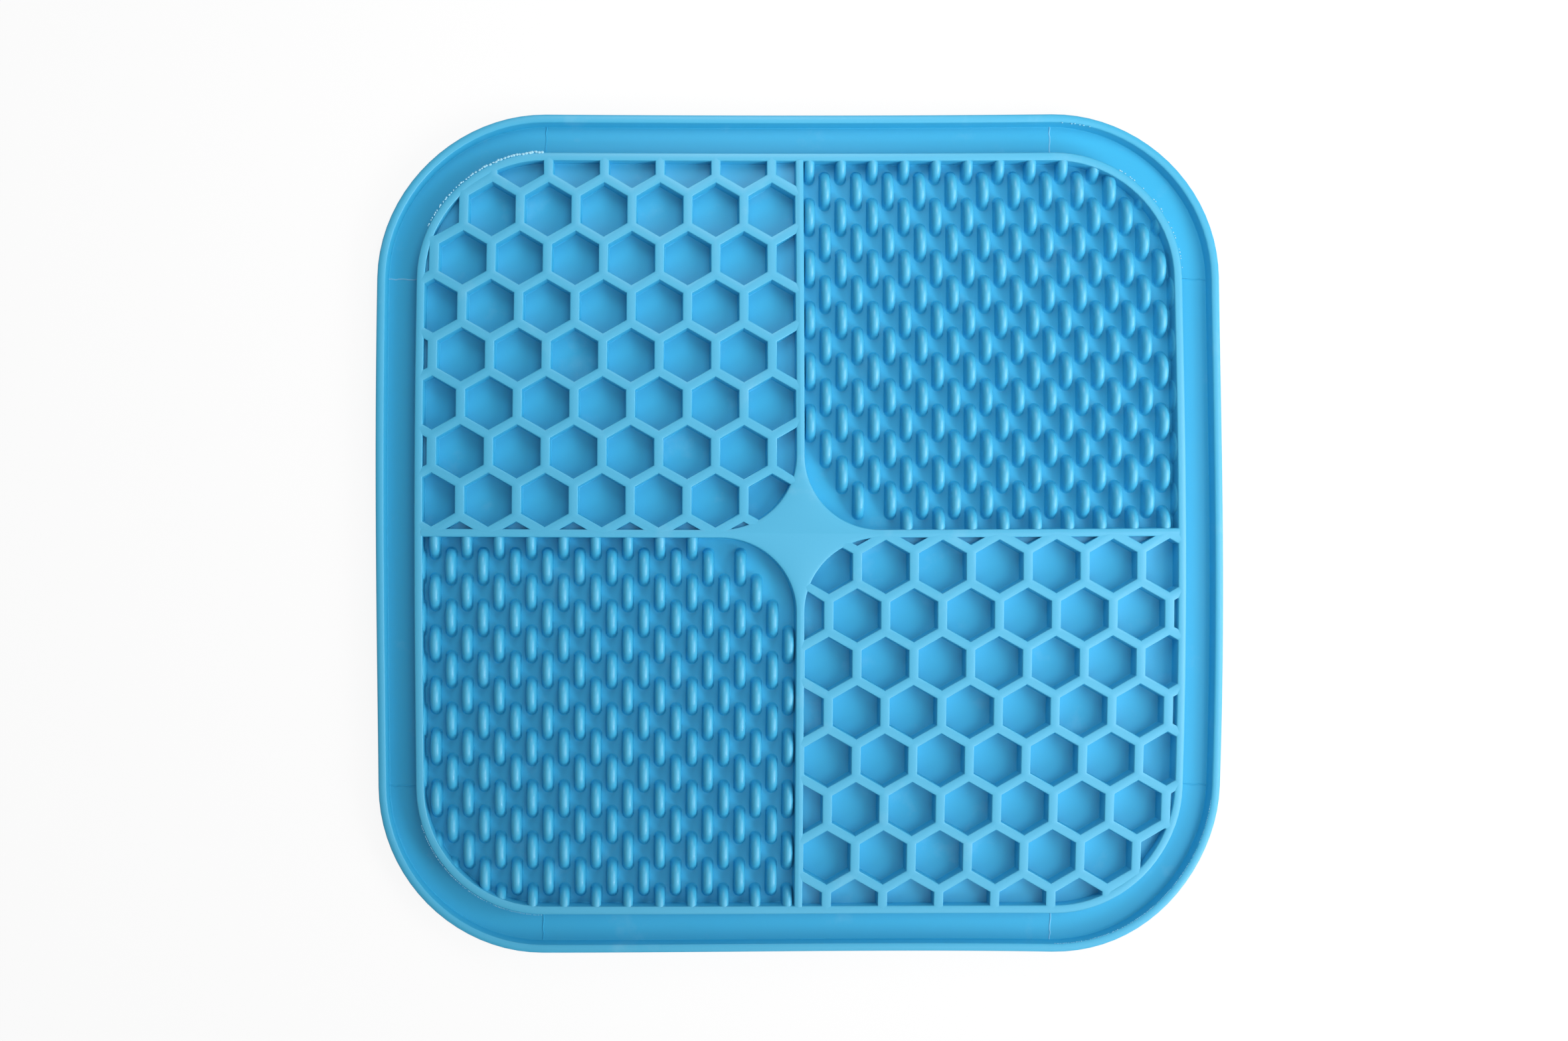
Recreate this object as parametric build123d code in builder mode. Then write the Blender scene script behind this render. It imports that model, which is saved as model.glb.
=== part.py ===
"""Square silicone lick mat: a rimmed sheet with a spill channel round four textured pockets.

Millimetres, +Z up. The origin is at the middle of the flat underside, +X points to the right and
+Y to the back. Two opposite pockets hold a honeycomb of walls and the other two hold staggered nubs.
"""
from build123d import *

import os
from math import atan, ceil, degrees, hypot, sqrt

# Sheet and rim
mat_side = 200.0
corner_radius = 39.0
base_thickness = 2.0
rim_width = 1.9  # flat top of the rim
rim_height = 3.5  # above the sheet
rim_flare = 0.4  # the rim's inner face leans in by this much at its foot
edge_round = 0.4  # along the rim's top and the sheet's lower edge

# Channel and the walls round the pockets
channel_width = 6.85  # flat floor between the rim and the frame
wall_height = 4.5  # above the sheet
wall_flare = 0.1  # each face of a wall leans out by this much at its foot
frame_width = 1.9  # flat top of the frame
divider_width = 1.9  # flat top of a divider
star_radius = 17.8  # round corner of each pocket beside the star, at the top

# Honeycomb
cell_pitch = 13.35  # between the middles of neighbouring cells in a row
rib_width = 1.7  # flat top of a cell wall
first_row = 7.93  # from the mat's middle to the first row of whole cells

# Nubs
nub_length = 9.0
nub_width = 2.4
nub_column_pitch = 3.8  # from a column of nubs to the next, which is staggered
nub_row_pitch = 12.4  # from a nub to the next one in its column
first_column = 2.52  # from the mat's middle to the first column
first_nub = 1.84  # from the mat's middle to the first nub of that column

# A wall or nub that the pocket's edge trims to less than this share of itself is left out
sliver_share = 0.02

# Places worked out from the sizes above
half_side = mat_side / 2
rim_inner_foot = half_side - rim_width - rim_flare
frame_outer_foot = rim_inner_foot - channel_width
cavity_top = frame_outer_foot - wall_flare - frame_width
cavity_foot = cavity_top - wall_flare
divider_foot_half = divider_width / 2 + wall_flare
star_reach = divider_width / 2 + star_radius
rim_draft = degrees(atan(rim_flare / rim_height))
wall_draft = degrees(atan(wall_flare / wall_height))
cell_side = cell_pitch / sqrt(3)
row_pitch = cell_pitch * sqrt(3) / 2
floor = Plane.XY.offset(base_thickness)


def rounded_square(half):
    """Draw a square of this half width whose corners share the mat's own corner centres."""
    return RectangleRounded(2 * half, 2 * half, corner_radius - (half_side - half))


# Base sheet
with BuildPart() as base_sheet:
    with BuildSketch():
        rounded_square(half_side)
    extrude(amount=base_thickness)
    fillet(base_sheet.faces().sort_by(Axis.Z)[0].edges(), edge_round)

# Outer rim, upright outside and leaning inside
with BuildPart() as outer_rim:
    with BuildSketch(floor):
        rounded_square(half_side)
    extrude(amount=rim_height)
    with BuildSketch(floor):
        rounded_square(rim_inner_foot)
    extrude(amount=rim_height, taper=-rim_draft, mode=Mode.SUBTRACT)
    fillet(outer_rim.faces().sort_by(Axis.Z)[-1].edges(), edge_round)

# Hollow inside the frame, which trims what meets the frame
with BuildPart() as cavity:
    with BuildSketch(floor):
        rounded_square(cavity_foot)
    extrude(amount=wall_height, taper=-wall_draft)

# Inner frame
with BuildPart() as inner_frame:
    with BuildSketch(floor):
        rounded_square(frame_outer_foot)
    extrude(amount=wall_height, taper=wall_draft)
    add(cavity.part, mode=Mode.SUBTRACT)

# Hollow of one pocket, round at the star and at the mat's corner, and its three mirror images
with BuildPart() as pocket:
    with BuildSketch(floor) as pocket_floor:
        with Locations((divider_foot_half, divider_foot_half)):
            pocket_side = cavity_foot - divider_foot_half
            Rectangle(pocket_side, pocket_side, align=(Align.MIN, Align.MIN))
        fillet(pocket_floor.vertices().sort_by_distance(floor.origin)[0], star_radius - wall_flare)
        mat_corner = pocket_floor.vertices().sort_by_distance(floor.origin)[-1]
        fillet(mat_corner, corner_radius - (half_side - cavity_foot))
    extrude(amount=wall_height, taper=-wall_draft)
pocket_back_right = pocket.part.solid()
pocket_back_left = pocket_back_right.mirror(Plane.YZ)
pocket_front_right = pocket_back_right.mirror(Plane.XZ)
pocket_front_left = pocket_back_left.mirror(Plane.XZ)
pockets = (pocket_back_right, pocket_back_left, pocket_front_right, pocket_front_left)

# Centre star, as far as the points where the round corners run into the dividers
with BuildPart() as centre_star:
    with BuildSketch(floor):
        Rectangle(2 * star_reach, 2 * star_reach)
    extrude(amount=wall_height)
    for hollow in pockets:
        add(hollow, mode=Mode.SUBTRACT)

# One divider, from the star to the frame
with BuildPart() as divider:
    with BuildSketch(floor):
        with Locations((star_reach, 0)):
            Rectangle(cavity_top - star_reach, 2 * divider_foot_half, align=(Align.MIN, Align.CENTER))
    extrude(amount=wall_height)
    add(cavity.part, mode=Mode.INTERSECT)
    add(pocket_back_right, mode=Mode.SUBTRACT)
    add(pocket_front_right, mode=Mode.SUBTRACT)

# One cell wall, pointed at both ends where three walls meet
with BuildPart() as rib:
    for height, width in ((0, rib_width + 2 * wall_flare), (wall_height, rib_width)):
        shoulder = (cell_side - width / sqrt(3)) / 2
        tip = cell_side / 2
        with BuildSketch(floor.offset(height)):
            Polygon(
                (tip, 0),
                (shoulder, width / 2),
                (-shoulder, width / 2),
                (-tip, 0),
                (-shoulder, -width / 2),
                (shoulder, -width / 2),
                align=None,
            )
    loft(ruled=True)

# One nub, half of a disc with a fully rounded edge, standing on its cut
with BuildPart() as nub:
    with BuildSketch(floor):
        SlotOverall(nub_length, nub_width, rotation=90)
        split(bisect_by=Plane.XZ, keep=Keep.BOTTOM)
    revolve(axis=Axis(floor.origin, floor.x_dir), revolution_arc=180)


def cell_wall_places():
    """List where each honeycomb wall of the back left pocket lies, row by row from the front."""
    places = []
    for row in range(-1, ceil((cavity_top - first_row) / row_pitch) + 1):
        y = first_row + row * row_pitch
        stagger = cell_pitch / 2 if row % 2 == 0 else 0
        for column in range(-1, ceil(cavity_top / cell_pitch) + 1):
            x = -column * cell_pitch - stagger
            for turn in (0, 60, 120):
                places.append(Location((x, y), turn) * Location((cell_pitch / 2, 0), 90))
    return places


def clears_star(x, y):
    """Tell whether a nub ends inside the pocket's round corner beside the star."""
    end = max(y - nub_length / 2, divider_width / 2)
    return x > star_reach or end > star_reach or hypot(star_reach - x, star_reach - end) < star_radius


def nub_places():
    """List where each nub of the back right pocket stands, column by column from the middle."""
    places = []
    for column in range(ceil((cavity_top - first_column) / nub_column_pitch)):
        x = first_column + column * nub_column_pitch
        stagger = nub_row_pitch / 2 if column % 2 else 0
        for row in range(ceil((cavity_top - first_nub) / nub_row_pitch) + 1):
            y = first_nub + stagger + row * nub_row_pitch
            if clears_star(x, y):
                places.append(Location((x, y)))
    return places


def trimmed_copies(shape, places, hollow):
    """Copy a solid to each place and cut it to the pocket's hollow, leaving out slivers."""
    pocket_base = hollow.faces().sort_by(Axis.Z)[0]
    box = shape.bounding_box()
    footprint = [Location((x, y, box.min.Z)) for x in (box.min.X, box.max.X) for y in (box.min.Y, box.max.Y)]
    copies = []
    for place in places:
        copy = shape.moved(place)
        if all(pocket_base.is_inside((place * corner).position) for corner in footprint):
            copies.append(copy)
            continue
        trimmed = copy & hollow
        if trimmed and trimmed.volume > sliver_share * shape.volume:
            copies.extend(trimmed.solids())
    return copies


honeycomb_back_left = Compound(trimmed_copies(rib.part.solid(), cell_wall_places(), pocket_back_left))
nubs_back_right = Compound(trimmed_copies(nub.part.solid(), nub_places(), pocket_back_right))

pieces = {
    "base_sheet": base_sheet.part,
    "outer_rim": outer_rim.part,
    "inner_frame": inner_frame.part,
    "centre_star": centre_star.part,
    "divider_right": divider.part,
    "divider_back": divider.part.rotate(Axis.Z, 90),
    "divider_left": divider.part.rotate(Axis.Z, 180),
    "divider_front": divider.part.rotate(Axis.Z, 270),
    "honeycomb_back_left": honeycomb_back_left,
    "honeycomb_front_right": honeycomb_back_left.rotate(Axis.Z, 180),
    "nubs_back_right": nubs_back_right,
    "nubs_front_left": nubs_back_right.rotate(Axis.Z, 180),
}

os.makedirs("parts", exist_ok=True)
for name, piece in pieces.items():
    piece.label = name
    export_step(piece, f"parts/{name}.step")
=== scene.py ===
"""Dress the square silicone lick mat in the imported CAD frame.

Metres, +Z up, +X to the right and +Y to the back, as in the CAD model. The mat is one colour of soft
silicone: a sheet with a rim, a frame, a star and dividers on it, two honeycombs and two fields of nubs.
"""
from __future__ import annotations

import logging
import math
import random
from collections.abc import Callable, Sequence
from dataclasses import dataclass
from enum import Enum

import bmesh
import bpy
from mathutils import Matrix, Vector


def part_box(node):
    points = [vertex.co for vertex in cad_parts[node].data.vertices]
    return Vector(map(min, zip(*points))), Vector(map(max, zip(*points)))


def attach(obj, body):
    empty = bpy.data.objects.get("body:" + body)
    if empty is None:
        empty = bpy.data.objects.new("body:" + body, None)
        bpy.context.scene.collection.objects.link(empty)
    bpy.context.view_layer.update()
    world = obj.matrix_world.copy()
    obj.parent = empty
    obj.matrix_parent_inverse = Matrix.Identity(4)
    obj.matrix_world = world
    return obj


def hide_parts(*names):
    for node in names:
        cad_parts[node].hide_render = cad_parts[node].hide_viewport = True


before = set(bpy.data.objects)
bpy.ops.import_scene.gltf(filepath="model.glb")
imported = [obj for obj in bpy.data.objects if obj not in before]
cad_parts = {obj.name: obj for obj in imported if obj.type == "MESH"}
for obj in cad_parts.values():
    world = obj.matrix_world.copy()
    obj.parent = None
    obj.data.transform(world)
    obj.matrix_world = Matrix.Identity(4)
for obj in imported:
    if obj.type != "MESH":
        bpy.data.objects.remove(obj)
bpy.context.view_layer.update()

log = logging.getLogger("lick_mat")

Step = tuple[float, float]  # an inset and the rise that goes with it
Span = tuple[float, float]  # where something starts and where it ends
Colour = tuple[float, float, float, float]

MERGE = 1e-7  # points nearer than this are one point
HALF_TURN = 180.0  # degrees from a pocket to the one opposite


class Side(Enum):
    """The four walls that divide the pockets, each by its turn in degrees from +X."""

    RIGHT = 0
    BACK = 90
    LEFT = 180
    FRONT = 270

    @property
    def way(self) -> tuple[float, float, float]:
        """Give the unit step from the mat's middle along the wall."""
        turn = math.radians(self.value)
        return (math.cos(turn), math.sin(turn), 0.0)


class Pocket(Enum):
    """The pockets in which the two patterns are modelled, each by the sign of its X."""

    BACK_LEFT = -1
    BACK_RIGHT = 1


@dataclass(frozen=True)
class WallProfile:
    """The section of one face of a moulded wall, from the sheet to its nearly flat top.

    Attributes:
        height: From the sheet to the middle of the top.
        flare: How far the face leans out at its foot.
        edge_round: Radius along the top edge.
        foot_round: Radius of the hollow along the foot.
        crown: How far the top rises from its edges to its middle.
        arc_steps: Faces round each radius.
    """

    height: float
    flare: float
    edge_round: float
    foot_round: float
    crown: float
    arc_steps: int = 3

    @property
    def shoulder(self) -> float:
        """Give the height of the top's edges."""
        return self.height - self.crown

    @property
    def lean(self) -> float:
        """Give how far the face leans out for each unit of height."""
        return self.flare / self.height

    @property
    def draft(self) -> float:
        """Give the angle by which the face leans from upright."""
        return math.atan2(self.flare, self.height)

    @property
    def foot_reach(self) -> float:
        """Give how far the hollow at the foot runs out past the face."""
        return self.foot_round * (math.cos(self.draft) - self.lean * (1 - math.sin(self.draft)))

    @property
    def flat_start(self) -> float:
        """Give how far in from the foot the flat top starts."""
        tangent = self.shoulder - self.edge_round * (1 - math.sin(self.draft))
        return self.lean * tangent + self.edge_round * math.cos(self.draft)

    def points(self) -> list[Step]:
        """List the section's points.

        Returns:
            Pairs of inward distance from the foot and height, from the sheet to the top's edge.
        """
        sweep = math.pi / 2 - self.draft
        section = []
        for step in range(self.arc_steps + 1):
            turn = -math.pi / 2 + sweep * step / self.arc_steps
            inward = -self.foot_reach + self.foot_round * math.cos(turn)
            section.append((inward, self.foot_round * (1 + math.sin(turn))))
        for step in range(self.arc_steps + 1):
            turn = self.draft + sweep * step / self.arc_steps
            inward = self.flat_start - self.edge_round * math.cos(turn)
            section.append((inward, self.shoulder - self.edge_round * (1 - math.sin(turn))))
        return section

    def climb(self) -> list[Step]:
        """List the insets and rises that climb the face from the sheet to the top's edge."""
        section = self.points()
        return [(b[0] - a[0], b[1] - a[1]) for a, b in zip(section, section[1:])]

    def descend(self) -> list[Step]:
        """List the insets and falls that go down the face of an opening to the sheet."""
        return [(inset, -rise) for inset, rise in reversed(self.climb())]


@dataclass(frozen=True)
class MatSizes:
    """The sizes that the pieces share, read from the CAD nodes where a node gives them.

    Attributes:
        half_side: Half of the mat's width.
        sheet_top: The height of the sheet's upper face.
        rim_top: The height of the rim's top.
        wall_top: The height of the other walls' tops.
        frame_foot: From the middle to the foot of the frame's outer face.
        star_reach: From the middle to the ends of the star's arms.
        corner_radius: The radius of the mat's corners.
        rim_width: The width of the rim's top.
        frame_width: The width of the frame's top.
        divider_width: The width of a divider's top.
        rim_flare: How far the rim's inner face leans out at its foot.
        wall_flare: How far the other faces lean out at their feet.
        rim_round: The radius along the rim's top edges.
        wall_round: The radius along the other top edges.
        foot_round: The radius of the hollows along the feet.
        crown: How far a top rises from its edges to its middle.
        rim_crown: How far the rim's top does.
        crown_share: The share of half a divider's flat top over which it rises.
        corner_steps: Faces round a corner.
        side_cuts: Cuts along a straight side.
    """

    half_side: float
    sheet_top: float
    rim_top: float
    wall_top: float
    frame_foot: float
    star_reach: float
    corner_radius: float = 0.039
    rim_width: float = 0.0019
    frame_width: float = 0.0019
    divider_width: float = 0.0019
    rim_flare: float = 0.0004
    wall_flare: float = 0.0001
    rim_round: float = 0.0004
    wall_round: float = 0.00028
    foot_round: float = 0.0002
    crown: float = 0.0001
    rim_crown: float = 0.0002
    crown_share: float = 0.9
    corner_steps: int = 20
    side_cuts: int = 39

    @classmethod
    def from_frame(cls) -> MatSizes:
        """Read the outer sizes from the boxes of the CAD nodes.

        Returns:
            The sizes.
        """
        sheet_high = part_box("base_sheet")[1]
        frame_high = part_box("inner_frame")[1]
        return cls(
            half_side=sheet_high.x,
            sheet_top=sheet_high.z,
            rim_top=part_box("outer_rim")[1].z,
            wall_top=frame_high.z,
            frame_foot=frame_high.x,
            star_reach=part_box("centre_star")[1].x,
        )

    @property
    def wall(self) -> WallProfile:
        """Give the section of the walls round the pockets and of the cell walls."""
        height = self.wall_top - self.sheet_top
        return WallProfile(height, self.wall_flare, self.wall_round, self.foot_round, self.crown)

    @property
    def rim_wall(self) -> WallProfile:
        """Give the section of the rim's inner face."""
        height = self.rim_top - self.sheet_top
        return WallProfile(height, self.rim_flare, self.rim_round, self.foot_round, self.rim_crown)

    @property
    def divider_half(self) -> float:
        """Give half of a divider's width on the sheet, with the hollow along its foot."""
        return self.divider_width / 2 + self.wall.flare + self.wall.foot_reach

    @property
    def crown_inset(self) -> float:
        """Give how far in from the top's edges a divider has risen to its middle height."""
        return self.crown_share * (self.divider_width / 2 + self.wall_flare - self.wall.flat_start)

    @property
    def pocket_edge(self) -> float:
        """Give how far from the middle the frame's sharp inner edge would be."""
        return self.frame_foot - self.wall_flare - self.frame_width

    @property
    def star_radius(self) -> float:
        """Give the radius of the pocket's round corner beside the star, at the top."""
        return self.star_reach - self.divider_width / 2

    @property
    def corner_centre(self) -> float:
        """Give how far from the middle the mat's corner arcs have their centre."""
        return self.half_side - self.corner_radius

    @property
    def pocket_arcs(self) -> tuple[tuple[float, float, int], ...]:
        """Give a pocket's round corners: centre, radius, and 1 facing outwards or -1 facing the star."""
        outer = self.pocket_edge - self.corner_centre
        return ((self.star_reach, self.star_radius, -1), (self.corner_centre, outer, 1))


def pick_vertices(piece: bpy.types.Object, test: Callable[[Vector], bool]) -> None:
    """Select the vertices whose place passes the test.

    Args:
        piece: The piece, in edit mode.
        test: Tells whether the vertex at a place is selected.
    """
    bpy.ops.mesh.select_mode(type="VERT")
    mesh = bmesh.from_edit_mesh(piece.data)
    for vertex in mesh.verts:
        vertex.select_set(test(vertex.co))
    mesh.select_flush_mode()
    bmesh.update_edit_mesh(piece.data)


def pick_edges(piece: bpy.types.Object, test: Callable[[bmesh.types.BMEdge], bool]) -> None:
    """Select the edges that pass the test.

    Args:
        piece: The piece, in edit mode.
        test: Tells whether an edge is selected.
    """
    bpy.ops.mesh.select_mode(type="EDGE")
    bpy.ops.mesh.select_all(action="DESELECT")
    mesh = bmesh.from_edit_mesh(piece.data)
    for edge in mesh.edges:
        if test(edge):
            edge.select_set(True)
    bmesh.update_edit_mesh(piece.data)


def pick_faces(piece: bpy.types.Object, test: Callable[[bmesh.types.BMFace], bool] | None = None) -> int:
    """Select the faces that pass the test.

    Args:
        piece: The piece, in edit mode.
        test: Tells whether a face is selected. Without it every face is.

    Returns:
        The number of faces selected.
    """
    bpy.ops.mesh.select_mode(type="FACE")
    bpy.ops.mesh.select_all(action="DESELECT")
    mesh = bmesh.from_edit_mesh(piece.data)
    chosen = [face for face in mesh.faces if test is None or test(face)]
    for face in chosen:
        face.select_set(True)
    bmesh.update_edit_mesh(piece.data)
    return len(chosen)


def start_plane(name: str, size: float, height: float) -> bpy.types.Object:
    """Add a square plane and open it in edit mode.

    Args:
        name: The piece's name.
        size: The square's side.
        height: The height at which it lies.

    Returns:
        The new piece.
    """
    bpy.ops.object.select_all(action="DESELECT")
    bpy.ops.mesh.primitive_plane_add(size=size, location=(0, 0, height))
    return open_new(name)


def open_new(name: str) -> bpy.types.Object:
    """Name the primitive just added, apply its place and open it in edit mode.

    Args:
        name: The piece's name.

    Returns:
        The new piece, with all of it selected.
    """
    piece = bpy.context.object
    piece.name = name
    piece.data.name = name
    bpy.ops.object.transform_apply(location=True, rotation=True, scale=True)
    bpy.ops.object.mode_set(mode="EDIT")
    bpy.ops.mesh.select_all(action="SELECT")
    return piece


def terrace(steps: list[Step], each: bool = False) -> None:
    """Shape the selected faces by a row of insets, each with its rise.

    Args:
        steps: Pairs of inset and rise.
        each: Whether every face is inset by itself.
    """
    for inset, rise in steps:
        bpy.ops.mesh.inset(thickness=inset, depth=rise, use_individual=each)


def close_underside(piece: bpy.types.Object) -> None:
    """Close the open foot with one face and turn all faces outwards.

    Args:
        piece: The piece, in edit mode.
    """
    pick_edges(piece, lambda edge: edge.is_boundary)
    bpy.ops.mesh.edge_face_add()
    bpy.ops.mesh.select_all(action="SELECT")
    bpy.ops.mesh.normals_make_consistent(inside=False)


def cut_off(
    piece: bpy.types.Object, place: Sequence[float], normal: Sequence[float], fill: bool = True
) -> None:
    """Cut away what lies past a plane.

    Args:
        piece: The piece, in edit mode; not used.
        place: A point on the plane.
        normal: The way the plane faces, towards what is cut away.
        fill: Whether the cut is closed.
    """
    bpy.ops.mesh.select_all(action="SELECT")
    bpy.ops.mesh.bisect(plane_co=place, plane_no=normal, use_fill=fill, clear_outer=True, threshold=MERGE)


def close_mesh(piece: bpy.types.Object, smooth_angle: float = math.radians(40)) -> bpy.types.Object:
    """Merge doubles, turn the faces outwards, leave edit mode and smooth the shallow edges.

    Args:
        piece: The piece, in edit mode.
        smooth_angle: The sharpest edge that is shaded smooth.

    Returns:
        The same piece.
    """
    bpy.ops.mesh.select_mode(type="VERT")
    bpy.ops.mesh.select_all(action="SELECT")
    bpy.ops.mesh.remove_doubles(threshold=MERGE)
    bpy.ops.mesh.delete_loose()
    bpy.ops.mesh.select_all(action="SELECT")
    bpy.ops.mesh.normals_make_consistent(inside=False)
    bpy.ops.object.mode_set(mode="OBJECT")
    bpy.ops.object.shade_smooth_by_angle(angle=smooth_angle)
    return piece


def own_copy(piece: bpy.types.Object, name: str, turn_degrees: float = 0.0) -> bpy.types.Object:
    """Copy a piece with a mesh of its own, turned about the mat's middle.

    Args:
        piece: The piece to copy.
        name: The copy's name.
        turn_degrees: The turn about +Z.

    Returns:
        The copy, its turn applied to its mesh.
    """
    copy = piece.copy()
    copy.data = piece.data.copy()
    copy.name = name
    copy.data.name = name
    bpy.context.collection.objects.link(copy)
    copy.data.transform(Matrix.Rotation(math.radians(turn_degrees), 4, "Z"))
    return copy


def scatter(shape: bpy.types.Object, places: list[Matrix], name: str) -> bpy.types.Object:
    """Copy a shape to every place and join the copies into one piece.

    Args:
        shape: The shape, which stays.
        places: The transform of each copy.
        name: The piece's name.

    Returns:
        The piece, which is also the active object.
    """
    copies = []
    for place in places:
        copy = own_copy(shape, name)
        copy.data.transform(place)
        copies.append(copy)
    bpy.ops.object.select_all(action="DESELECT")
    for copy in copies:
        copy.select_set(True)
    bpy.context.view_layer.objects.active = copies[0]
    bpy.ops.object.join()
    piece = bpy.context.object
    piece.name = name
    piece.data.name = name
    return piece


@dataclass(frozen=True)
class Silicone:
    """Soft satin silicone with painted light: paler towards the tops as painted sheen and light passing
    through, deeper blue on the sheet as painted shade, with faint clouds, grain and dust.

    Attributes:
        sheet_top: The height up to which the colour is at its deepest, as painted shade.
        wall_top: The height from which it is at its palest, as painted sheen.
        sheen_top_colour: The colour at the tops of the walls and nubs: the silicone's blue made paler by
            painted sheen and painted light passing through.
        shaded_sheet_colour: The colour in the sheet: the silicone's blue made deeper by painted shade.
        tone_span: Where the colour is deepest and palest on the mix of height and clouds; the height part is
            painted light, the clouds are the silicone's own uneven tone.
        dust_colour: What lies in the pale patches.
        roughness: The satin surface.
        roughness_swing: How far the grain carries the roughness either way.
        shine: How much the sheet and the tops reflect; the sheet reflects less, which paints shade into its
            reflection.
        refraction: The silicone's index of refraction.
        cloud_size: The size of the clouds.
        cloud_detail: How many finer layers they have.
        cloud_share: Their share in the mix with height.
        dust_size: The size of the dusty patches.
        dust_detail: How many finer layers they have.
        dust_share: How much of the dust's colour shows at most.
        dust_span: The noise at which the dust starts and at which it shows most.
        grain_size: The size of the grain.
        grain_detail: How many finer layers it has.
        grain_depth: How deep the grain is.
        grain_strength: How much of that depth shows.
        layer_share: How strong each finer layer of noise is, beside the one before it.
    """

    sheet_top: float
    wall_top: float
    # Painted light: the top colour is paler as painted sheen, the sheet colour deeper blue as painted shade.
    sheen_top_colour: Colour = (0.056, 0.397, 0.628, 1.0)
    shaded_sheet_colour: Colour = (0.032, 0.385, 0.65, 1.0)
    tone_span: Span = (0.1, 0.9)
    dust_colour: Colour = (0.2, 0.52, 0.72, 1.0)
    roughness: float = 0.42
    roughness_swing: float = 0.06
    shine: Span = (0.35, 0.9)
    refraction: float = 1.41
    cloud_size: float = 0.03
    cloud_detail: int = 5
    cloud_share: float = 0.35
    dust_size: float = 0.012
    dust_detail: int = 6
    dust_share: float = 0.3
    dust_span: Span = (0.6, 0.8)
    grain_size: float = 0.0004
    grain_detail: int = 2
    grain_depth: float = 0.0001
    grain_strength: float = 0.08
    layer_share: float = 0.6

    def material(self, name: str) -> bpy.types.Material:
        """Make the procedural material.

        Args:
            name: The material's name.

        Returns:
            The material, on Object coordinates.
        """
        material = bpy.data.materials.new(name)
        material.use_nodes = True
        nodes = material.node_tree.nodes
        link = material.node_tree.links.new
        shader = nodes["Principled BSDF"]
        shader.inputs["IOR"].default_value = self.refraction
        place = nodes.new("ShaderNodeTexCoord").outputs["Object"]
        split = nodes.new("ShaderNodeSeparateXYZ")
        link(place, split.inputs["Vector"])
        height = self.mapped(material, split.outputs["Z"], (self.sheet_top, self.wall_top), (0, 1))
        # Reflection rises with height: weaker on the sheet as painted shade, stronger at the tops.
        link(self.mapped(material, height, (0, 1), self.shine), shader.inputs["Specular IOR Level"])

        # Height mixed with clouds: the height part is painted light, deeper blue on the sheet as painted
        # shade and paler at the tops as painted sheen; the clouds are the silicone's own uneven tone.
        height_and_clouds = nodes.new("ShaderNodeMix")
        height_and_clouds.inputs["Factor"].default_value = self.cloud_share
        link(height, height_and_clouds.inputs["A"])
        link(self.noise(material, place, self.cloud_size, self.cloud_detail), height_and_clouds.inputs["B"])
        tone_ramp = nodes.new("ShaderNodeValToRGB")
        colours = (self.shaded_sheet_colour, self.sheen_top_colour)
        for element, position, colour in zip(tone_ramp.color_ramp.elements, self.tone_span, colours):
            element.position = position
            element.color = colour
        link(height_and_clouds.outputs["Result"], tone_ramp.inputs["Fac"])

        patches = self.noise(material, place, self.dust_size, self.dust_detail)
        dusty = nodes.new("ShaderNodeMix")
        dusty.data_type = "RGBA"
        dusty.inputs["B"].default_value = self.dust_colour
        link(self.mapped(material, patches, self.dust_span, (0, self.dust_share)), dusty.inputs["Factor"])
        link(tone_ramp.outputs["Color"], dusty.inputs["A"])
        link(dusty.outputs["Result"], shader.inputs["Base Color"])

        grain = self.noise(material, place, self.grain_size, self.grain_detail)
        satin = (self.roughness - self.roughness_swing, self.roughness + self.roughness_swing)
        link(self.mapped(material, grain, (0, 1), satin), shader.inputs["Roughness"])
        bump = nodes.new("ShaderNodeBump")
        bump.inputs["Strength"].default_value = self.grain_strength
        bump.inputs["Distance"].default_value = self.grain_depth
        link(grain, bump.inputs["Height"])
        link(bump.outputs["Normal"], shader.inputs["Normal"])
        return material

    @staticmethod
    def mapped(
        material: bpy.types.Material, value: bpy.types.NodeSocket, source: Span, target: Span
    ) -> bpy.types.NodeSocket:
        """Add a node that carries one range of values to another.

        Args:
            material: The material to add it to.
            value: The output that it reads.
            source: The range that it reads.
            target: The range that it gives.

        Returns:
            The node's output.
        """
        node = material.node_tree.nodes.new("ShaderNodeMapRange")
        for name, limit in zip(("From Min", "From Max", "To Min", "To Max"), (*source, *target)):
            node.inputs[name].default_value = limit
        material.node_tree.links.new(value, node.inputs["Value"])
        return node.outputs["Result"]

    def noise(
        self, material: bpy.types.Material, place: bpy.types.NodeSocket, size: float, detail: int
    ) -> bpy.types.NodeSocket:
        """Add a noise texture.

        Args:
            material: The material to add it to.
            place: The coordinates that it follows.
            size: The size of its blotches.
            detail: How many finer layers it has.

        Returns:
            The texture's output.
        """
        texture = material.node_tree.nodes.new("ShaderNodeTexNoise")
        texture.inputs["Scale"].default_value = 1 / size
        texture.inputs["Detail"].default_value = detail
        texture.inputs["Roughness"].default_value = self.layer_share
        material.node_tree.links.new(place, texture.inputs["Vector"])
        return texture.outputs["Fac"]


@dataclass(frozen=True)
class EdgeStray:
    """How far one edge of the limp mat strays from its even lie, to the right or to the back.

    Attributes:
        shift: The stray at the edge's middle.
        tilt: What its right or back end has besides, and the other end less, evenly along the edge.
        bow: What both ends have besides, by the square of the way from the middle.
        wave: What its right or back end has besides, and the other end less, by the cube of that way.
    """

    shift: float
    tilt: float
    bow: float
    wave: float

    def at(self, along: float) -> float:
        """Give the stray at a share of the way from the edge's middle to its right or back end."""
        return self.shift + self.tilt * along + self.bow * along**2 + self.wave * along**3


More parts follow.
